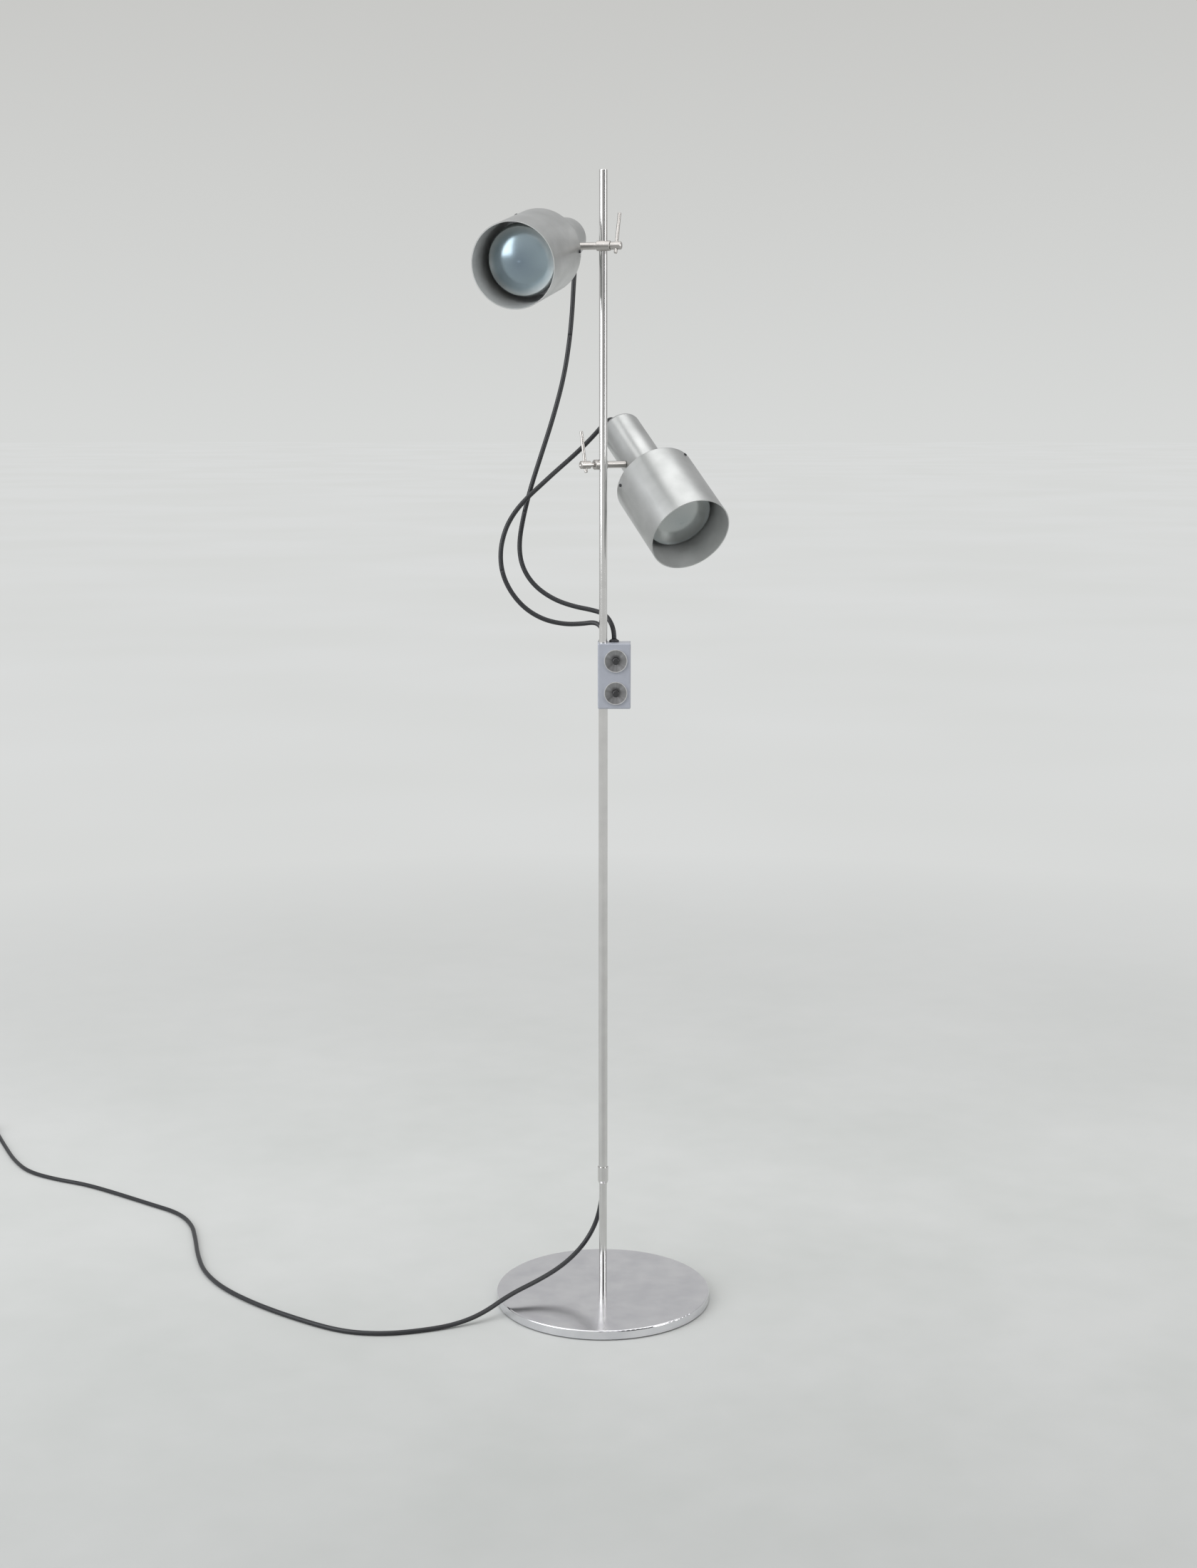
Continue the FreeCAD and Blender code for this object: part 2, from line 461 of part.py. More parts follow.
def make_head(side):
    """Shade, rear housing, carrier ring, lamp holder, bulb, nipple, gland and shade screws."""
    frame = head_frame(side)
    mouth = "shade_start + shade_length"
    shade_in = "shade_dia / 2 - shade_wall"
    ceiling = "shade_start + shade_wall"
    shade = lathe([("shade_hole_dia / 2", "shade_start"), ("shade_dia / 2", "shade_start"),
                   ("shade_dia / 2", mouth), (shade_in, mouth), (shade_in, ceiling),
                   ("shade_hole_dia / 2", ceiling)],
                  [("shade_dia / 2", "shade_start", "shade_round")])
    screw_height = f"{ceiling} + shade_screw_back"
    shade_holes = []
    lip_holes = []
    screws = []
    for angle in SHADE_SCREW_ANGLES:
        around = turned(angle)
        hole = "shade_screw_dia / 2 + close_fit"
        shank = cylinder("shade_screw_dia / 2", "shade_wall + 4.4")
        cap = cylinder("shade_screw_head / 2", "1.4")
        cap = softened(cap, "0.6", lambda edge: edge.BoundBox.ZMin > 1)
        outward = {f"{shade_in} - 1": cylinder(hole, "shade_wall + 3"),
                   f"{shade_in} - 5": cylinder(hole, "6"),
                   f"{shade_in} - 4": shank, "shade_dia / 2 + 0.02": cap}
        for start, piece in outward.items():
            lying = turned(90, V(0, 1, 0), V(value(start), 0, value(screw_height)))
            piece.Placement = around.multiply(lying)
        shade_hole, lip_hole = list(outward.values())[:2]
        shade_holes.append(shade_hole)
        lip_holes.append(lip_hole)
        screws.append(joined(shank, cap))
    carrier_out = f"{shade_in} - carrier_gap"
    neck = "shade_hole_dia / 2 - 0.1"
    lip_start = f"{ceiling} + carrier_lip"
    carrier = lathe([(f"{neck} - 1.2", "shade_start - 5"), (neck, "shade_start - 5"), (neck, ceiling),
                     (carrier_out, ceiling), (carrier_out, lip_start), (f"{carrier_out} - 1.2", lip_start),
                     (f"{carrier_out} - 1.2", f"{ceiling} + 1.2"), (f"{neck} - 1.2", f"{ceiling} + 1.2")])
    housing_in = "housing_dia / 2 - housing_wall"
    back = "-housing_back"
    housing = lathe([("nipple_dia / 2 + close_fit", back), ("housing_dia / 2", back),
                     ("housing_dia / 2", "shade_start"), (housing_in, "shade_start"), (housing_in, f"{back} + housing_wall"),
                     ("nipple_dia / 2 + close_fit", f"{back} + housing_wall")],
                    [("housing_dia / 2", back, "housing_round"),
                     (housing_in, f"{back} + housing_wall", "housing_round - housing_wall")])
    arm_hole = cylinder("arm_spigot_dia / 2 + close_fit", "housing_dia / 2",
                        ("-housing_dia / 2 - 5", "0", "0"), "x")
    seat = "bulb_face - bulb_length - air_gap"
    holder = lathe([("0", "-holder_back"), ("holder_dia / 2", "-holder_back"), ("holder_dia / 2", "holder_front"),
                    ("holder_bore / 2", "holder_front"), ("holder_bore / 2", seat), ("0", seat)],
                   [("holder_dia / 2", "-holder_back", "housing_round")])
    cap_start = "bulb_face - bulb_length"
    cap_end = f"{cap_start} + bulb_cap_length"
    nipple_end = f"{back} - gland_length / 2"
    gland_end = f"{back} - gland_length"
    pieces = {
        "shade": less(shade, *shade_holes),
        "rear_housing": less(housing, arm_hole),
        "shade_carrier": less(carrier, *lip_holes),
        "shade_screws": joined(*screws),
        "lamp_holder": holder,
        "bulb_cap": lathe([("0", cap_start), ("bulb_cap_dia / 4", cap_start),
                           ("bulb_cap_dia / 2", f"{cap_start} + 4"), ("bulb_cap_dia / 2", cap_end),
                           ("0", cap_end)]),
        "nipple": lathe([("cord_dia / 2", nipple_end), ("nipple_dia / 2", nipple_end),
                         ("nipple_dia / 2", "-holder_back"), ("cord_dia / 2", "-holder_back")]),
        "cord_gland": lathe([("nipple_dia / 2 + snug_fit", back), ("nipple_dia / 2 + snug_fit", nipple_end),
                             ("0", nipple_end), ("0", gland_end), ("cord_dia / 2 + 0.8", gland_end),
                             ("gland_dia / 2", nipple_end), ("gland_dia / 2", back)]),
    }
    for name, piece in pieces.items():
        piece.Placement = frame
        keep(f"{side}_{name}", piece)
    shaped(f"{side}_bulb", bulb_shell(), frame)


# ---------------------------------------------------------------- cords
UPPER_CORD_ROUTE = [
    (-40.5, 124, 1499), (-38, 137, 1486), (-39, 138, 1462), (-41, 134, 1432), (-43, 127, 1395),
    (-47, 118, 1352), (-55, 109, 1303), (-70, 100, 1248), (-86, 91, 1199), (-101, 81, 1153),
    (-112, 70, 1109), (-117, 60, 1074), (-112, 52, 1045), (-95, 46, 1020), (-68, 40, 1002),
    (-40, 34, 993), (-16, 29, 989), (2, 23, 984), (11, 14, 973)]
LOWER_CORD_ROUTE = [
    (12, 117.2, 1251), (1, 127, 1251), (-11, 127, 1237), (-26, 117, 1218), (-43, 103, 1198), (-66, 89, 1177),
    (-86, 75, 1158), (-105, 62, 1141), (-122, 54, 1122), (-135, 47, 1099), (-142, 41, 1070), (-140, 38, 1040),
    (-128, 36, 1013), (-108, 33, 990), (-82, 30, 975), (-53, 28, 969),
    (-29, 25, 970), (-12, 19, 973), (-3, 12.5, 968)]
MAINS_ROUTE = [
    (-3.6, 26.5, 127), (-11, 27, 100), (-25, 21, 76), (-44, 9, 58), (-66, -6, 45), (-94, -25, 35), (-132, -54, 26.5),
    (-170, -88, 11.5), (-208, -108, 4), (-254, -126, 3.4), (-305, -137, 3.4), (-360, -129, 3.4),
    (-420, -92, 3.4), (-490, -38, 3.4), (-551, 24, 3.4), (-590, 88, 3.4), (-611, 155, 3.4), (-626, 222, 3.4),
    (-642, 282, 3.4), (-672, 332, 3.4), (-724, 371, 3.4), (-788, 420, 3.4), (-848, 463, 3.4), (-904, 488, 3.4),
    (-958, 524, 3.4), (-995, 580, 3.4), (-1026, 645, 3.4), (-1052, 702, 3.4), (-1068, 738, 3.4)]
COIL_TURNS_IN = 2
COIL_TURNS_OUT = 1.75


def bent_path(label, points):
    """Straight runs joined by tangent arcs, each as large as its two runs allow."""
    spots = [V(*point) for point in points]
    edges = []
    radii = []
    start = spots[0]
    for before, corner, after in zip(spots, spots[1:], spots[2:]):
        back = (before - corner).normalize()
        onward = (after - corner).normalize()
        shorter = min((before - corner).Length, (after - corner).Length)
        half_turn = (math.pi - back.getAngle(onward)) / 2
        leg = 0.45 * shorter
        radius = leg / math.tan(half_turn)
        radii.append(radius)
        first = corner + back * leg
        last = corner + onward * leg
        inward = (back + onward).normalize()
        middle = corner + inward * (radius / math.cos(half_turn) - radius)
        edges.append(Part.LineSegment(start, first).toShape())
        edges.append(Part.Arc(first, middle, last).toShape())
        start = last
    edges.append(Part.LineSegment(start, spots[-1]).toShape())
    diameter = value("cord_dia")
    runs = [(b - a).Length for a, b in zip(spots, spots[1:])]
    print(f"{label}: radii {min(radii):.1f} to {max(radii):.0f}, tightest {min(radii) / diameter:.1f} diameters,"
          f" longest run {max(runs):.0f}, radii", [round(r) for r in radii])
    return Part.Wire(edges)


def swept(label, path):
    """A round tube of the cord's diameter along a path, with its volume compared."""
    first = path.OrderedEdges[0]
    start = first.valueAt(first.FirstParameter)
    along = first.tangentAt(first.FirstParameter)
    ring = Part.Wire([Part.Circle(start, along, value("cord_dia / 2")).toShape()])
    tube = path.makePipeShell([ring], True, False)
    expected = math.pi * value("cord_dia / 2") ** 2 * path.Length
    print(f"{label}: length {path.Length:.0f}, volume ratio {tube.Volume / expected:.4f}")
    if abs(tube.Volume / expected - 1) > 0.02:
        raise ValueError(label + " has the wrong volume")
    return tube


def arc_pair(start, leaving, end, arriving):
    """Two arcs that join two points and keep both directions."""
    gap = end - start
    both = leaving + arriving
    a = 2 * (leaving.dot(arriving) - 1)
    b = -2 * gap.dot(both)
    c = gap.dot(gap)
    reach = 2 * c / (-b + math.sqrt(b * b - 4 * a * c))
    first = start + leaving * reach
    last = end - arriving * reach
    middle = (first + last) / 2
    pair = []
    for tip, near, far in ((first, start, middle), (last, middle, end)):
        chord = (near + far) / 2 - tip
        half_open = (near - tip).getAngle(far - tip) / 2
        radius = (near - tip).Length * math.tan(half_open)
        centre_gap = radius / math.sin(half_open)
        crown = tip + chord.normalize() * (centre_gap - radius)
        pair.append(Part.Arc(near, crown, far).toShape())
    return pair


def coil_spot(turn):
    """Where the coil's line is after so many turns from its start, about the coil's own middle."""
    outer = value("coil_radius")
    pitch = value("coil_pitch")
    climb_end = COIL_TURNS_IN + 0.5
    if turn <= COIL_TURNS_IN:
        radius = outer - pitch * turn
        rise = 0.0
    elif turn <= climb_end:
        share = (turn - COIL_TURNS_IN) / 0.5
        radius = outer - pitch * COIL_TURNS_IN - pitch / 2 * (share - share * share)
        rise = (1 - math.cos(math.pi * share)) / 2
    else:
        radius = outer - pitch * COIL_TURNS_IN + pitch * (turn - climb_end)
        rise = 1.0
    angle = 2 * math.pi * turn
    return V(radius * math.cos(angle), radius * math.sin(angle), rise * value("coil_layer"))


def coil_heading(turn):
    """The coil's direction after so many turns."""
    step = 1e-4
    return (coil_spot(turn + step) - coil_spot(turn - step)).normalize()


def coil_frame():
    """The coil's place: its start lies at the mains route's end and carries on in its direction."""
    before, end = [V(*point) for point in MAINS_ROUTE[-2:]]
    heading = (end - before).normalize()
    own = (coil_spot(1e-3) - coil_spot(0)).normalize()
    turn = math.degrees(math.atan2(heading.y, heading.x) - math.atan2(own.y, own.x))
    spin = FreeCAD.Rotation(V(0, 0, 1), turn)
    lead_in = heading * value("cord_dia")
    return FreeCAD.Placement(end + lead_in - spin.multVec(coil_spot(0)), spin)


def coil_path():
    """The coil's line: a straight lead-in, quarter turns inward, a climb, quarter turns outward."""
    place = coil_frame()
    last_turn = COIL_TURNS_IN + 0.5 + COIL_TURNS_OUT
    quarters = round(4 * last_turn)
    turns = [n / 4 for n in range(quarters + 1)]
    spots = [place.multVec(coil_spot(turn)) for turn in turns]
    level = {0: coil_spot(1e-3) - coil_spot(0), quarters: coil_spot(last_turn) - coil_spot(last_turn - 1e-3)}
    ways = []
    for n, turn in enumerate(turns):
        way = level[n].normalize() if n in level else coil_heading(turn)
        ways.append(place.Rotation.multVec(way))
    straight = value("cord_dia")
    edges = [Part.LineSegment(spots[0] - ways[0] * straight, spots[0]).toShape()]
    for n in range(quarters):
        edges += arc_pair(spots[n], ways[n], spots[n + 1], ways[n + 1])
    end = spots[-1] + ways[-1] * value("coil_tail")
    edges.append(Part.LineSegment(spots[-1], end).toShape())
    own_points = [edge.valueAt(edge.FirstParameter + (edge.LastParameter - edge.FirstParameter) * k / 12)
                  for edge in edges for k in range(12)]
    apart = value("cord_dia") * 2.2
    gaps = [(p - q).Length for n, p in enumerate(own_points) for m, q in enumerate(own_points)
            if m > n + 40 and (p - q).Length < apart]
    print(f"coil: least gap to itself {min(gaps) - value('cord_dia'):.2f}")
    return Part.Wire(edges), end, ways[-1]


def make_cords():
    """The two inner cords, the mains lead with its strain relief, its coil and its plug."""
    gland = -value("housing_back + gland_length + air_gap")
    exits = {side: tuple(head_frame(side).multVec(V(0, 0, gland))) for side in SIDES}
    top = value("box_bottom + box_height + grommet_rise")
    right = (value("right_cord_shift"), value("right_cord_back"), top)
    left = (-value("left_cord_shift"), value("left_cord_back"), top)
    right_over = (right[0], right[1], top + 9)
    left_over = (left[0], left[1], top + 9)
    upper = [exits["upper"]] + UPPER_CORD_ROUTE + [right_over, right]
    lower = [exits["lower"]] + LOWER_CORD_ROUTE + [left_over, left]
    relief_start = V(0, value("rod_dia / 2 - 1"), value("cord_exit_height + 5"))
    relief_way = V(-1.5, 13, -20).normalize()
    relief_end = relief_start + relief_way * value("relief_length")
    print("exits", exits, "grommets", right, left, "relief end", tuple(relief_end), "way", tuple(relief_way))
    mains = [tuple(relief_end)] + MAINS_ROUTE
    for label, route in (("upper_cord", upper), ("lower_cord", lower), ("mains_cord", mains)):
        shaped(label, swept(label, bent_path(label, route)))
    relief = Part.makeCone(value("relief_dia / 2"), value("cord_dia / 2 + 0.7"), value("relief_length"),
                           relief_start, relief_way)
    rod = Part.makeCylinder(value("rod_dia / 2 + close_fit"), value("lamp_height"))
    shaped("mains_strain_relief", relief.cut(rod))
    path, end, way = coil_path()
    shaped("mains_coil", swept("mains_coil", path))

    plug = block("plug_length", "plug_width", "plug_thick", ("0", "-plug_width / 2", "0"))
    plug = softened(plug, "5", lambda edge: abs(edge.Vertexes[0].Z - edge.Vertexes[-1].Z) > 1)
    plug = softened(plug, "1.5", lambda edge: edge.BoundBox.ZLength < 0.1)
    place = turned(math.degrees(math.atan2(way.y, way.x)), at=V(end.x, end.y, 0))
    plug.Placement = place
    keep("plug_body", plug)
    pins = [block("4", "8", "22.7", ("8", "-4", "plug_thick")),
            block("6.4", "4", "17.7", ("30", "-13", "plug_thick")),
            block("6.4", "4", "17.7", ("30", "9", "plug_thick"))]
    doc.recompute()
    group = joined(*pins)
    group.Placement = place
    keep("plug_pins", group)


# ---------------------------------------------------------------- build and write
def check():
    """Stop if any object failed or any piece is not a valid solid."""
    doc.recompute()
    for item in doc.Objects:
        if "Invalid" in item.State or "Error" in item.State:
            raise ValueError(f"{item.Label} ({item.Name}) failed: {item.State}")
    for label, piece in NODES.items():
        if piece.Shape.isNull() or not piece.Shape.isValid() or not piece.Shape.Solids:
            raise ValueError(f"{label} is not a valid solid")


make_base()
make_pole()
make_switch_box()
for side in SIDES:
    make_clamp(side)
    make_head(side)
make_cords()
check()
os.makedirs("parts", exist_ok=True)
for label, piece in NODES.items():
    piece.Shape.exportStep(f"parts/{label}.step")
print(len(NODES), "pieces written")
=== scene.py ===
import bmesh
import bpy
import math
from mathutils import Matrix, Vector

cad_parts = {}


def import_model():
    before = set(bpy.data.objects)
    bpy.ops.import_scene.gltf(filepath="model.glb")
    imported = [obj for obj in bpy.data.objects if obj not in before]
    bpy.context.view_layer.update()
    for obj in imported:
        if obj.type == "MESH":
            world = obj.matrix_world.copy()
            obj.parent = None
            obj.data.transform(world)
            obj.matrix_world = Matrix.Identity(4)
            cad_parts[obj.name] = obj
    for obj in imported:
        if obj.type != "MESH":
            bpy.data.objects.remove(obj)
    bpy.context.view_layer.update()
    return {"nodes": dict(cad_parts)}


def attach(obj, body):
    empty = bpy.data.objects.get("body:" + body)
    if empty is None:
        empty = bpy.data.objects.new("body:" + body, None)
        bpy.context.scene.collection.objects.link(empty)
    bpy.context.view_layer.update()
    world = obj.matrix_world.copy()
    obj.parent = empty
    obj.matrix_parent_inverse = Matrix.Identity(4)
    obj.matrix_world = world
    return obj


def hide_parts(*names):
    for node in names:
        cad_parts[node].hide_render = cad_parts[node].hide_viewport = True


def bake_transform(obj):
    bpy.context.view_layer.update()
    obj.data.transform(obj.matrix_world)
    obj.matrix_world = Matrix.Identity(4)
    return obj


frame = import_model()
NODES = frame["nodes"]
SIDES = ("upper", "lower")
MM = 0.001

# ------------------------------------------------------------------ camera
# Fitted to the photograph, whose width and focal length are known in pixels.
PHOTO_WIDTH_PX = 1680
FOCAL_PX = 3179
SENSOR_WIDTH = 36.0
camera = bpy.data.objects.new("camera", bpy.data.cameras.new("camera"))
bpy.context.scene.collection.objects.link(camera)
camera.location = (-0.0064, -3.090, 1.284)
camera.rotation_euler = (math.radians(80.2), 0, 0)
camera.data.sensor_fit = "HORIZONTAL"
camera.data.sensor_width = SENSOR_WIDTH
camera.data.lens = SENSOR_WIDTH * FOCAL_PX / PHOTO_WIDTH_PX
camera.data.clip_start = 0.05
camera.data.clip_end = 60
bpy.context.scene.camera = camera


# ------------------------------------------------------------------ material tools
class Graph:
    """A small helper that builds the nodes of one material, or of the world."""

    def __init__(self, name, world=None):
        self.material = world or bpy.data.materials.new(name)
        self.material.use_nodes = True
        self.tree = self.material.node_tree
        self.tree.nodes.clear()
        self.out = self.tree.nodes.new("ShaderNodeOutput" + ("World" if world else "Material"))

    def add(self, kind, inputs=(), **settings):
        """A node with its settings and inputs; an input is a number, a colour or a socket."""
        node = self.tree.nodes.new("ShaderNode" + kind)
        for key, setting in settings.items():
            setattr(node, key, setting)
        for key, given in dict(inputs).items():
            if isinstance(given, bpy.types.NodeSocket):
                self.tree.links.new(given, node.inputs[key])
            else:
                node.inputs[key].default_value = given
        return node

    def ramp(self, factor, stops, interpolation="LINEAR"):
        """A colour ramp; stops are (position, grey or colour)."""
        node = self.add("ValToRGB", {"Fac": factor})
        node.color_ramp.interpolation = interpolation
        while len(node.color_ramp.elements) < len(stops):
            node.color_ramp.elements.new(1.0)
        for element, (place, tone) in zip(node.color_ramp.elements, stops):
            element.position = place
            rgb = (tone, tone, tone) if isinstance(tone, (int, float)) else tone
            element.color = (*rgb, 1)
        return node.outputs["Color"]

    def local(self, matrix=None):
        """Positions on the part, in metres, carried into a piece's own frame."""
        spot = self.add("TexCoord").outputs["Object"]
        if matrix is None:
            return spot
        back = matrix.inverted()
        return self.add("Mapping", {"Vector": spot, "Location": back.to_translation(),
                                    "Rotation": back.to_euler("XYZ")}).outputs["Vector"]

    def math(self, operation, a, b=0.0):
        return self.add("Math", {0: a, 1: b}, operation=operation).outputs["Value"]

    def noise(self, vector, scale, detail=2.0, stretch=(1, 1, 1)):
        spread = self.add("Mapping", {"Vector": vector, "Scale": stretch}).outputs["Vector"]
        return self.add("TexNoise", {"Vector": spread, "Scale": scale, "Detail": detail}).outputs["Fac"]

    def bump(self, height, strength, distance):
        return self.add("Bump", {"Height": height, "Strength": strength,
                                 "Distance": distance}).outputs["Normal"]

    def finish(self, **inputs):
        words = {name.replace("_", " "): given for name, given in inputs.items()}
        shader = self.add("BsdfPrincipled", words)
        self.tree.links.new(shader.outputs["BSDF"], self.out.inputs["Surface"])
        return self.material


def around(graph, place):
    """Angle round a piece's own Z axis, from -0.5 to 0.5 of a turn, its radius and its height."""
    parts = graph.add("SeparateXYZ", {"Vector": place})
    x, y, z = (parts.outputs[k] for k in "XYZ")
    angle = graph.math("DIVIDE", graph.math("ARCTAN2", y, x), 2 * math.pi)
    radius = graph.math("SQRT", graph.math("ADD", graph.math("MULTIPLY", x, x),
                                           graph.math("MULTIPLY", y, y)))
    return angle, radius, z


def turned_metal(name, matrix, tone, dull, rough, lines=2600.0, long_lines=0.0, inside=None):
    """Spun or turned metal: fine rings round its own axis, faint marks along it, slight smears.

    Nearer the axis than the radius named inside, the metal is less metallic and painted a little paler, as
    painted light within a lamp shade.
    """
    g = Graph(name)
    place = g.local(matrix)
    angle, radius, height = around(g, place)
    ringed = g.add("CombineXYZ", {"X": g.math("MULTIPLY", angle, 1.5),
                                  "Y": g.math("MULTIPLY", radius, lines),
                                  "Z": g.math("MULTIPLY", height, lines)}).outputs["Vector"]
    rings = g.noise(ringed, 1.0, 3.0)
    smear = g.noise(place, 26.0, 4.0)
    colour = g.ramp(smear, [(0.35, tone), (0.7, dull)])
    height_map = rings
    if long_lines:
        straight = g.add("CombineXYZ", {"X": g.math("MULTIPLY", angle, long_lines),
                                        "Z": g.math("MULTIPLY", height, 6.0)}).outputs["Vector"]
        drawn = g.noise(straight, 1.0, 3.0)
        height_map = g.math("ADD", rings, g.math("MULTIPLY", drawn, 0.8))
    roughness = g.math("ADD", rough, g.math("MULTIPLY", smear, 0.1))
    metallic = 1.0
    if inside:
        outer_skin = g.math("GREATER_THAN", radius, inside)
        metallic = g.ramp(outer_skin, [(0.4, 0.25), (0.6, 1.0)])
        # Painted light: the inside of a shade is lightened a little in colour.
        pale = g.ramp(outer_skin, [(0.4, 0.06), (0.6, 0.0)])
        colour = g.add("VectorMath", {0: colour, 1: pale}, operation="ADD").outputs["Vector"]
    return g.finish(Base_Color=colour, Metallic=metallic, Roughness=roughness,
                    Normal=g.bump(height_map, 0.12, 0.0002))


def plain_metal(name, tone, rough, scale=60.0, bump=0.05):
    """Polished or plated metal with faint smears and tiny pits."""
    g = Graph(name)
    place = g.local()
    smear = g.noise(place, scale, 4.0)
    pits = g.noise(place, 900.0, 2.0)
    colour = g.ramp(smear, [(0.3, tuple(c * 0.93 for c in tone)), (0.7, tone)])
    roughness = g.math("ADD", rough, g.math("MULTIPLY", smear, rough * 0.7))
    return g.finish(Base_Color=colour, Metallic=1.0, Roughness=roughness,
                    Normal=g.bump(pits, bump, 0.0001))


def moulded(name, tone, rough, grain=1400.0, strength=0.25, coat=0.0, contrast=0.85):
    """Moulded plastic, rubber or enamel: a fine grain, with uneven shine."""
    g = Graph(name)
    place = g.local()
    fine = g.noise(place, grain, 2.0)
    broad = g.noise(place, 70.0, 3.0)
    colour = g.ramp(broad, [(0.3, tuple(c * contrast for c in tone)), (0.7, tone)])
    roughness = g.math("ADD", rough - 0.05, g.math("MULTIPLY", broad, 0.12))
    return g.finish(Base_Color=colour, Roughness=roughness, Coat_Weight=coat,
                    Coat_Roughness=0.15, Normal=g.bump(fine, strength, 0.0001))


# ------------------------------------------------------------------ the part's own frames
CLAMP_OFFSET = 5


def clamp_frame(swing, height):
    return Matrix.Translation((0, 0, height * MM)) @ Matrix.Rotation(math.radians(swing), 4, "Z")


def head_frame(swing, height, dip, reach, flipped):
    """The spotlight's own frame, from degrees and millimetres: +Z comes out of its mouth."""
    away = math.radians(-(90 + dip) if flipped else 90 + dip)
    return (clamp_frame(swing, height) @ Matrix.Translation((reach * MM, CLAMP_OFFSET * MM, 0))
            @ Matrix.Rotation(away, 4, "X"))


HEADS = {"lower": head_frame(swing=27.1, height=1188, dip=33.8, reach=64.2, flipped=False),
         "upper": head_frame(swing=163.8, height=1476, dip=11.7, reach=73.5, flipped=True)}
SHADE_SKIN = 0.0554
BULB_RADIUS = 0.0475
DIAL_RADIUS = 0.01575
DIAL_CENTRES = {"upper": (0.0171, -0.0155, 0.9233), "lower": (0.0171, -0.0155, 0.8789)}


def dress(node, material):
    """Give a CAD node its one material."""
    piece = NODES[node]
    if not piece.material_slots:
        piece.data.materials.append(material)
    for place in piece.material_slots:
        place.material = material


# ------------------------------------------------------------------ materials
ALUMINIUM = (0.55, 0.56, 0.555)
ALUMINIUM_DULL = (0.45, 0.46, 0.455)
chrome = plain_metal("chrome", (0.70, 0.69, 0.68), 0.09)
bright_steel = plain_metal("bright_steel", (0.68, 0.69, 0.71), 0.2, 120.0)
dark_screw = plain_metal("dark_screw", (0.07, 0.07, 0.075), 0.35, 200.0)
brass = plain_metal("brass", (0.78, 0.62, 0.34), 0.25, 80.0)
nickel = plain_metal("nickel", (0.50, 0.48, 0.46), 0.24, 120.0)
disc_metal = turned_metal("turned_disc", None, (0.80, 0.80, 0.82), (0.70, 0.70, 0.73), 0.13, 2200.0)
box_enamel = moulded("box_enamel", (0.40, 0.42, 0.475), 0.34, 1800.0, 0.15, 0.25, 0.94)
black_rubber = moulded("black_rubber", (0.030, 0.030, 0.034), 0.5)
black_plastic = moulded("black_plastic", (0.022, 0.022, 0.025), 0.38)
glossy_black = moulded("glossy_black", (0.012, 0.012, 0.014), 0.16, 900.0, 0.1, 0.5)
pale_plastic = moulded("pale_plastic", (0.72, 0.70, 0.62), 0.5)
felt = moulded("felt", (0.05, 0.05, 0.055), 0.9, 2400.0, 0.9)
cord_black = moulded("cord_black", (0.020, 0.021, 0.024), 0.42, 1100.0, 0.3)


def dial_metal(side):
    """A dished, finely turned dial: painted reflection in tones that fan out from its middle, and a painted
    highlight on its bright thin rim.
    """
    place = Matrix.Translation(Vector(DIAL_CENTRES[side])) @ Matrix.Rotation(math.radians(90), 4, "X")
    g = Graph(side + "_dial_metal")
    angle, radius, _ = around(g, g.local(place))
    rings = g.add("TexNoise", {"Vector": g.add("CombineXYZ", {
        "X": g.math("MULTIPLY", radius, 5200.0), "Y": g.math("MULTIPLY", angle, 3.0)}).outputs["Vector"],
        "Scale": 1.0, "Detail": 2.0}).outputs["Fac"]
    sector = g.add("Mapping", {"Vector": g.add("CombineXYZ", {"X": angle}).outputs["Vector"],
                               "Scale": (14.0, 1, 1)}).outputs["Vector"]
    # Painted reflection: light and dark sectors fanning out, as a turned dish reflects what is around it.
    fan = g.add("TexNoise", {"Vector": sector, "Scale": 1.0, "Detail": 3.0}).outputs["Fac"]
    tone = g.ramp(fan, [(0.3, (0.22, 0.22, 0.22)), (0.7, (0.38, 0.38, 0.39))])
    # Painted highlight: a bright thin ring at the dial's edge.
    rim = g.ramp(g.math("DIVIDE", radius, DIAL_RADIUS), [(0.92, 0.0), (0.96, 0.42)])
    tone = g.add("VectorMath", {0: tone, 1: rim}, operation="ADD").outputs["Vector"]
    return g.finish(Base_Color=tone, Metallic=1.0, Roughness=0.34, Anisotropic=0.7,
                    Normal=g.bump(rings, 0.25, 0.0002))


# Painted light and shade: both bulbs are alike, so the darker, bluer tones of the upper one are painted
# shade.
BULB_TONES_WITH_PAINTED_LIGHT = {"upper": ((0.20, 0.26, 0.31), (0.31, 0.39, 0.43)),
              "lower": ((0.36, 0.39, 0.39), (0.46, 0.48, 0.47))}


def bulb_glass(side):
    """Frosted reflector bulb: a milky face, painted darker and bluer on the upper one as painted shade, with
    a painted highlight brighter near its rim.
    """
    g = Graph(side + "_bulb_glass")
    place = g.local(HEADS[side])
    _, radius, _ = around(g, place)
    share = g.math("DIVIDE", radius, BULB_RADIUS)
    cloud = g.noise(place, 30.0, 3.0)
    mixed = g.math("ADD", share, g.math("MULTIPLY", cloud, 0.15))
    middle, edge = BULB_TONES_WITH_PAINTED_LIGHT[side]
    # Painted reflection: darker in the middle, with a painted highlight towards the rim.
    tone = g.ramp(mixed, [(0.15, middle), (0.8, edge), (1.0, (0.58, 0.62, 0.63))])
    return g.finish(Base_Color=tone, Roughness=0.2, Metallic=0.85, Coat_Weight=0.4,
                    Coat_Roughness=0.08, Normal=g.bump(g.noise(place, 2200.0, 1.0), 0.1, 0.0001))


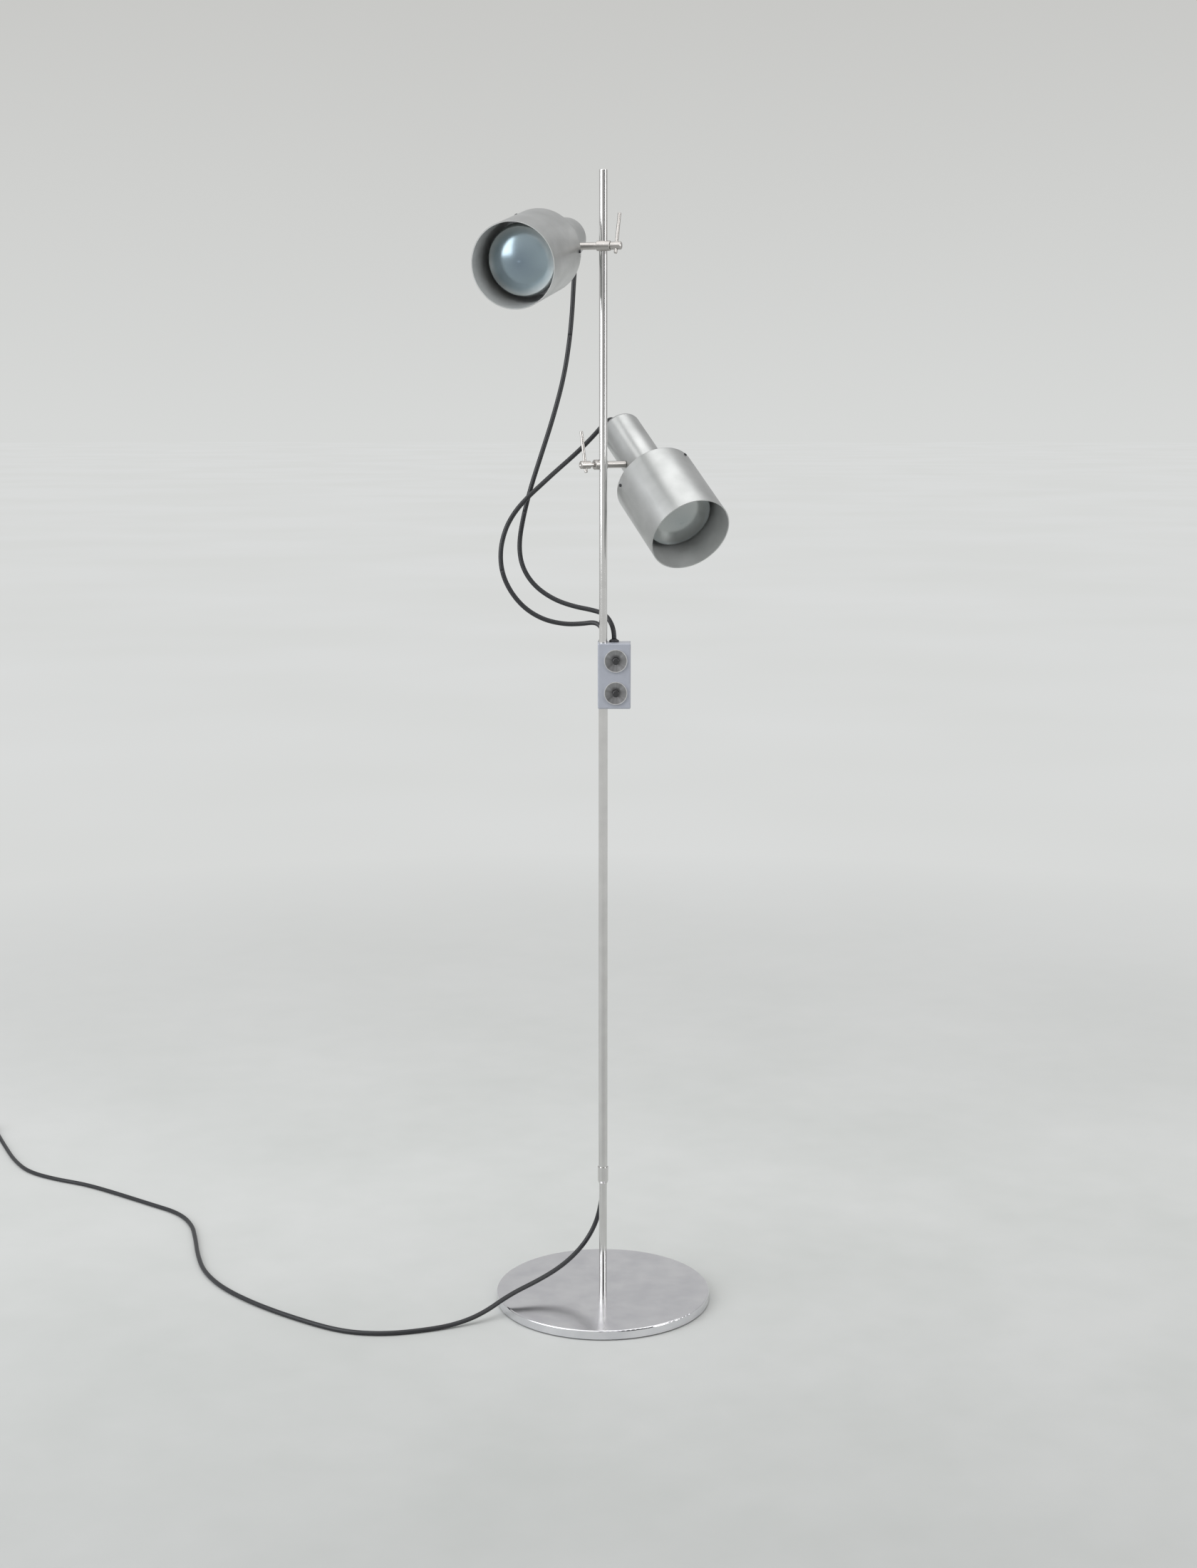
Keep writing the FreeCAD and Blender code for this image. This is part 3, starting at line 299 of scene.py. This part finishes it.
for node in ("lower_rod", "collar", "lower_tube", "upper_rod"):
    dress(node, chrome)
for node in ("base_washer", "base_nut", "collar_grub_screw", "cover_screws", "rod_screw"):
    dress(node, bright_steel)
dress("base_disc", disc_metal)
dress("foot_pad", felt)
dress("inner_flex", cord_black)
dress("switch_box", box_enamel)
dress("switch_box_cover", box_enamel)
dress("terminal_block", pale_plastic)
for side in SIDES:
    dress(side + "_dial", dial_metal(side))
    dress(side + "_button", glossy_black)
    dress(side + "_push_switch", black_plastic)
    for node in ("clamp", "arm", "clamp_screw", "tommy_bar"):
        dress(f"{side}_{node}", nickel)
    dress(side + "_shade", turned_metal(side + "_shade_metal", HEADS[side], ALUMINIUM, ALUMINIUM_DULL,
                                        0.29, 2400.0, 260.0, inside=SHADE_SKIN))
    dress(side + "_rear_housing", turned_metal(side + "_housing_metal", HEADS[side], ALUMINIUM,
                                               ALUMINIUM_DULL, 0.29, 2400.0, 260.0))
    dress(side + "_sleeve", chrome)
    dress(side + "_arm_nut", bright_steel)
    dress(side + "_shade_carrier", bright_steel)
    dress(side + "_shade_screws", dark_screw)
    dress(side + "_lamp_holder", black_plastic)
    dress(side + "_cord_gland", black_plastic)
    dress(side + "_bulb_cap", brass)
    dress(side + "_nipple", bright_steel)
    dress(side + "_bulb", bulb_glass(side))
for node in ("right_grommet", "left_grommet", "mains_strain_relief"):
    dress(node, black_rubber)
dress("plug_body", black_plastic)
dress("plug_pins", brass)

# ------------------------------------------------------------------ cords, in metres
CORD = 0.0065
BOX_EXIT_HEIGHT = 0.965
# The heights at which each spotlight's cord passes from one joint's length to the next.
CUT_HEIGHTS = {"upper": (1.12, 1.36), "lower": (1.04, 1.19)}
UPPER_ROUTE = [
    (-0.04539, 0.10720, 1.49573), (-0.0405, 0.124, 1.499), (-0.038, 0.137, 1.486), (-0.039, 0.138, 1.462),
    (-0.041, 0.134, 1.432), (-0.043, 0.127, 1.395), (-0.047, 0.118, 1.352), (-0.055, 0.109, 1.303),
    (-0.070, 0.100, 1.248), (-0.086, 0.091, 1.199), (-0.101, 0.081, 1.153), (-0.112, 0.070, 1.109),
    (-0.117, 0.060, 1.074), (-0.112, 0.052, 1.045), (-0.095, 0.046, 1.020), (-0.068, 0.040, 1.002),
    (-0.040, 0.034, 0.993), (-0.016, 0.029, 0.989), (0.002, 0.023, 0.984), (0.011, 0.014, 0.973),
    (0.015, 0.008, 0.960), (0.015, 0.008, 0.951)]
LOWER_ROUTE = [
    (0.01804, 0.10568, 1.24213), (0.0155, 0.1106, 1.2459), (0.011, 0.1185, 1.2475), (0.005, 0.126, 1.244),
    (-0.002, 0.129, 1.237), (-0.009, 0.128, 1.229), (-0.018, 0.1235, 1.2195), (-0.030, 0.1155, 1.2075),
    (-0.046, 0.1045, 1.193), (-0.066, 0.091, 1.176), (-0.086, 0.0765, 1.158), (-0.105, 0.063, 1.141),
    (-0.122, 0.054, 1.122), (-0.135, 0.047, 1.099), (-0.142, 0.041, 1.070), (-0.140, 0.038, 1.040),
    (-0.128, 0.036, 1.013), (-0.108, 0.033, 0.990), (-0.082, 0.030, 0.975), (-0.053, 0.028, 0.969),
    (-0.029, 0.025, 0.970), (-0.012, 0.019, 0.973), (-0.003, 0.0125, 0.968), (-0.0015, 0.0106, 0.960),
    (-0.0015, 0.0106, 0.951)]
MAINS_ROUTE = [
    (-0.00151, 0.01760, 0.14792), (-0.0036, 0.0265, 0.127), (-0.011, 0.027, 0.100), (-0.025, 0.021, 0.076),
    (-0.044, 0.009, 0.058), (-0.066, -0.006, 0.045), (-0.094, -0.025, 0.035), (-0.132, -0.054, 0.0265),
    (-0.170, -0.088, 0.0115), (-0.208, -0.108, 0.004), (-0.254, -0.126, 0.0034), (-0.305, -0.137, 0.0034),
    (-0.360, -0.129, 0.0034), (-0.420, -0.092, 0.0034), (-0.490, -0.038, 0.0034), (-0.551, 0.024, 0.0034),
    (-0.590, 0.088, 0.0034), (-0.611, 0.155, 0.0034), (-0.626, 0.222, 0.0034), (-0.642, 0.282, 0.0034),
    (-0.672, 0.332, 0.0034), (-0.724, 0.371, 0.0034), (-0.788, 0.420, 0.0034), (-0.848, 0.463, 0.0034),
    (-0.904, 0.488, 0.0034), (-0.958, 0.524, 0.0034), (-0.995, 0.580, 0.0034), (-1.026, 0.645, 0.0034),
    (-1.052, 0.702, 0.0034), (-1.068, 0.738, 0.0034)]
COIL_TURNS_IN = 2.0
COIL_TURNS = 4.25
COIL_RADIUS = 0.041
COIL_PITCH = 0.0072
COIL_LAYER = 0.0071


def coil_spot(turn):
    """Where the coil's line is after so many turns, about the coil's own middle."""
    climb_end = COIL_TURNS_IN + 0.5
    inner = COIL_RADIUS - COIL_PITCH * COIL_TURNS_IN
    rise = 0.0
    if turn <= COIL_TURNS_IN:
        radius = COIL_RADIUS - COIL_PITCH * turn
    elif turn <= climb_end:
        share = (turn - COIL_TURNS_IN) / 0.5
        radius = inner - COIL_PITCH / 2 * (share - share * share)
        rise = (1 - math.cos(math.pi * share)) / 2
    else:
        radius = inner + COIL_PITCH * (turn - climb_end)
        rise = 1.0
    angle = 2 * math.pi * turn
    return Vector((radius * math.cos(angle), radius * math.sin(angle), rise * COIL_LAYER))


def coil_points():
    """The coil's control points: 24 for each turn, laid where the mains route ends."""
    before, end = Vector(MAINS_ROUTE[-2]), Vector(MAINS_ROUTE[-1])
    heading = (end - before).normalized()
    own = coil_spot(0.001) - coil_spot(0.0)
    turn = math.atan2(heading.y, heading.x) - math.atan2(own.y, own.x)
    spin = Matrix.Rotation(turn, 3, "Z")
    origin = end + heading * CORD - spin @ coil_spot(0.0)
    wider = 1 / math.cos(math.pi / 24)
    spots = []
    for n in range(int(24 * COIL_TURNS) + 1):
        spot = coil_spot(n / 24)
        spots.append(origin + spin @ Vector((spot.x * wider, spot.y * wider, spot.z)))
    last = spin @ (coil_spot(COIL_TURNS) - coil_spot(COIL_TURNS - 0.001)).normalized()
    finish = origin + spin @ coil_spot(COIL_TURNS)
    return spots + [finish + last * reach for reach in (0.017, 0.034, 0.050)]


def nurbs(name, points):
    """One open NURBS spline with these control points."""
    curve = bpy.data.curves.new(name, "CURVE")
    curve.dimensions = "3D"
    curve.resolution_u = 10
    spline = curve.splines.new("NURBS")
    spline.points.add(len(points) - 1)
    for spot, given in zip(spline.points, points):
        spot.co = (*given, 1.0)
    spline.order_u = 3
    spline.use_endpoint_u = True
    piece = bpy.data.objects.new(name, curve)
    bpy.context.scene.collection.objects.link(piece)
    return piece


def read_line(points):
    """The smooth line of a route, as Blender works it out for a curve with no bevel."""
    guide = nurbs("guide", points)
    bpy.context.view_layer.update()
    mesh = bpy.data.meshes.new_from_object(guide)
    line = [vertex.co.copy() for vertex in mesh.vertices]
    bpy.data.objects.remove(guide)
    return line


def tube(name, line, material, sides=20):
    """A closed round tube along a line of points."""
    mesh = bpy.data.meshes.new(name)
    bm = bmesh.new()
    ways = [(b - a).normalized() for a, b in zip(line, line[1:])]
    tangents = [ways[0]] + [(a + b).normalized() for a, b in zip(ways, ways[1:])] + [ways[-1]]
    side_way = tangents[0].orthogonal().normalized()
    rings = []
    for spot, tangent in zip(line, tangents):
        side_way = (side_way - tangent * side_way.dot(tangent)).normalized()
        other = tangent.cross(side_way)
        rings.append([bm.verts.new(spot + (side_way * math.cos(2 * math.pi * k / sides)
                                           + other * math.sin(2 * math.pi * k / sides)) * CORD / 2)
                      for k in range(sides)])
    for near, far in zip(rings, rings[1:]):
        for k in range(sides):
            face = bm.faces.new((near[k], near[(k + 1) % sides], far[(k + 1) % sides], far[k]))
            face.smooth = True
    for ring, flip in ((rings[0], True), (rings[-1], False)):
        bm.faces.new(ring[::-1] if flip else ring)
    bm.to_mesh(mesh)
    bm.free()
    mesh.materials.append(material)
    piece = bpy.data.objects.new(name, mesh)
    bpy.context.scene.collection.objects.link(piece)
    return piece


def line_length(line):
    return sum((b - a).length for a, b in zip(line, line[1:]))


def hang_cord(side, route):
    """One spotlight's cord in three lengths, cut at the two heights given for it."""
    heights = CUT_HEIGHTS[side]
    line = read_line(route)[::-1]
    low_cut, high_cut = [next(n for n, spot in enumerate(line) if spot.z > height and n > len(line) // 3)
                         for height in heights]
    stretches = ((line[:low_cut + 1], "stand", side + "_slider", (0, 0, BOX_EXIT_HEIGHT), (0, 0, heights[0])),
                 (line[low_cut:high_cut + 1], side + "_slider", side + "_clamp_body",
                  line[low_cut], line[high_cut]),
                 (line[high_cut:], side + "_clamp_body", side + "_head", line[high_cut], line[-1]))
    for n, (stretch, near, far, start, end) in enumerate(stretches):
        piece = tube(f"{side}_cord_{n + 1}", stretch, cord_black)
        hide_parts(side + "_cord")
        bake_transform(piece)


hang_cord("upper", UPPER_ROUTE)
hang_cord("lower", LOWER_ROUTE)
MAINS_POINTS = MAINS_ROUTE + [tuple(spot) for spot in coil_points()]
mains = nurbs("mains_lead", MAINS_POINTS)
mains.data.bevel_depth = CORD / 2
mains.data.bevel_resolution = 4
mains.data.use_fill_caps = True
mains.data.materials.append(cord_black)
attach(mains, "stand")
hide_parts("mains_cord", "mains_coil")
line_length(read_line(MAINS_POINTS))


# ------------------------------------------------------------------ floor, surround and light
def floor():
    """A pale floor, painted darker towards the camera as painted shade; far from the part it takes the tone
    of the pale surround, so no edge shows.
    """
    mesh = bpy.data.meshes.new("floor")
    bm = bmesh.new()
    bmesh.ops.create_grid(bm, x_segments=8, y_segments=8, size=60.0)
    bm.to_mesh(mesh)
    bm.free()
    piece = bpy.data.objects.new("floor", mesh)
    bpy.context.scene.collection.objects.link(piece)
    g = Graph("floor_paint")
    place = g.local()
    stains = g.noise(place, 2.2, 6.0)
    specks = g.noise(place, 14.0, 5.0)
    mixed = g.math("ADD", g.math("MULTIPLY", stains, 0.75), g.math("MULTIPLY", specks, 0.25))
    stained = g.ramp(mixed, [(0.35, (0.575, 0.590, 0.575)), (0.65, (0.635, 0.645, 0.635))])
    spot = g.add("SeparateXYZ", {"Vector": place})
    # Painted shade: the floor darkens towards the camera.
    near = g.add("MapRange", {"Value": spot.outputs["Y"], "From Min": -1.0, "From Max": 0.5,
                              "To Min": 0.69, "To Max": 1.0}).outputs["Result"]
    colour = g.add("VectorMath", {0: stained, "Scale": near}, operation="SCALE").outputs["Vector"]
    paint = g.add("BsdfPrincipled", {"Base Color": colour, "Roughness": 0.75,
                                     "Normal": g.bump(specks, 0.08, 0.002)})
    distance = g.add("VectorMath", {0: place}, operation="LENGTH").outputs["Value"]
    far = g.add("MapRange", {"Value": distance, "From Min": 0.5, "From Max": 3.2}).outputs["Result"]
    ray = g.add("LightPath").outputs
    looked_at = g.math("MAXIMUM", ray["Is Camera Ray"], ray["Is Glossy Ray"])
    broad = g.noise(place, 0.5, 2.0)
    glow = g.add("Emission", {"Color": g.ramp(broad, [(0.35, HORIZON_DULL), (0.65, HORIZON)])})
    both = g.add("MixShader", {"Fac": g.math("MULTIPLY", far, looked_at)})
    g.tree.links.new(paint.outputs["BSDF"], both.inputs[1])
    g.tree.links.new(glow.outputs["Emission"], both.inputs[2])
    g.tree.links.new(both.outputs["Shader"], g.out.inputs["Surface"])
    mesh.materials.append(g.material)


def lamp(name, at, aim, size, power, tone=(1, 1, 1)):
    """A soft rectangular studio light."""
    data = bpy.data.lights.new(name, "AREA")
    data.shape = "RECTANGLE"
    data.size, data.size_y = size
    data.energy = power
    data.color = tone
    piece = bpy.data.objects.new(name, data)
    piece.location = at
    piece.rotation_euler = (Vector(aim) - Vector(at)).to_track_quat("-Z", "Y").to_euler()
    piece.visible_camera = False
    bpy.context.scene.collection.objects.link(piece)


# The tone of the surround, as seen: where it meets the floor, and higher up, where it is painted darker as
# shade.
HORIZON = (0.70, 0.71, 0.705)
HORIZON_DULL = (0.68, 0.69, 0.68)
HIGH_IN_SHADE = (0.57, 0.57, 0.555)

# Tones round the part: from behind it (0), by its left, its front (0.5) and its right, to behind (1).
SURROUND = [(0.0, 0.58), (0.26, 0.56), (0.29, 0.14), (0.36, 0.16), (0.39, 0.80), (0.47, 0.70), (0.52, 0.46),
            (0.545, 0.06), (0.67, 0.07), (0.71, 0.50), (1.0, 0.58)]


def world():
    """A soft surround: pale to the eye, and to the part bright left of the camera, dark right of it."""
    bpy.context.scene.world = bpy.data.worlds.new("surround")
    g = Graph("surround", bpy.context.scene.world)
    way = g.add("TexCoord").outputs["Generated"]
    turned = g.add("Mapping", {"Vector": way, "Rotation": (0, 0, math.radians(90))}).outputs["Vector"]
    around_part = g.add("TexGradient", {"Vector": turned}, gradient_type="RADIAL").outputs["Fac"]
    studio = g.ramp(around_part, SURROUND)
    height = g.add("SeparateXYZ", {"Vector": way}).outputs["Z"]
    stains = g.math("MULTIPLY", g.noise(way, 5.0, 5.0), 0.12)
    # Painted shade: the surround seen by the camera darkens higher up; the noise on it is stains.
    stained_and_shaded_backdrop = g.ramp(g.math("ADD", g.math("MULTIPLY", height, 4.0), stains),
                      [(0.0, HORIZON_DULL), (0.8, HIGH_IN_SHADE)])
    lit = g.add("Background", {"Color": studio})
    seen = g.add("Background", {"Color": stained_and_shaded_backdrop})
    both = g.add("MixShader", {"Fac": g.add("LightPath").outputs["Is Camera Ray"]})
    g.tree.links.new(lit.outputs["Background"], both.inputs[1])
    g.tree.links.new(seen.outputs["Background"], both.inputs[2])
    g.tree.links.new(both.outputs["Shader"], g.out.inputs["Surface"])


floor()
world()
lamp("window_left", (-3.2, -1.6, 2.3), (0, 0.2, 1.0), (2.6, 3.0), 95, (0.96, 0.98, 1.0))
lamp("window_right", (3.0, -2.0, 2.2), (0, 0.2, 1.0), (1.2, 2.4), 42)
lamp("ceiling", (0, -0.4, 3.6), (0, 0.3, 0), (4.4, 3.6), 66)

bpy.context.scene.view_settings.view_transform = "Standard"
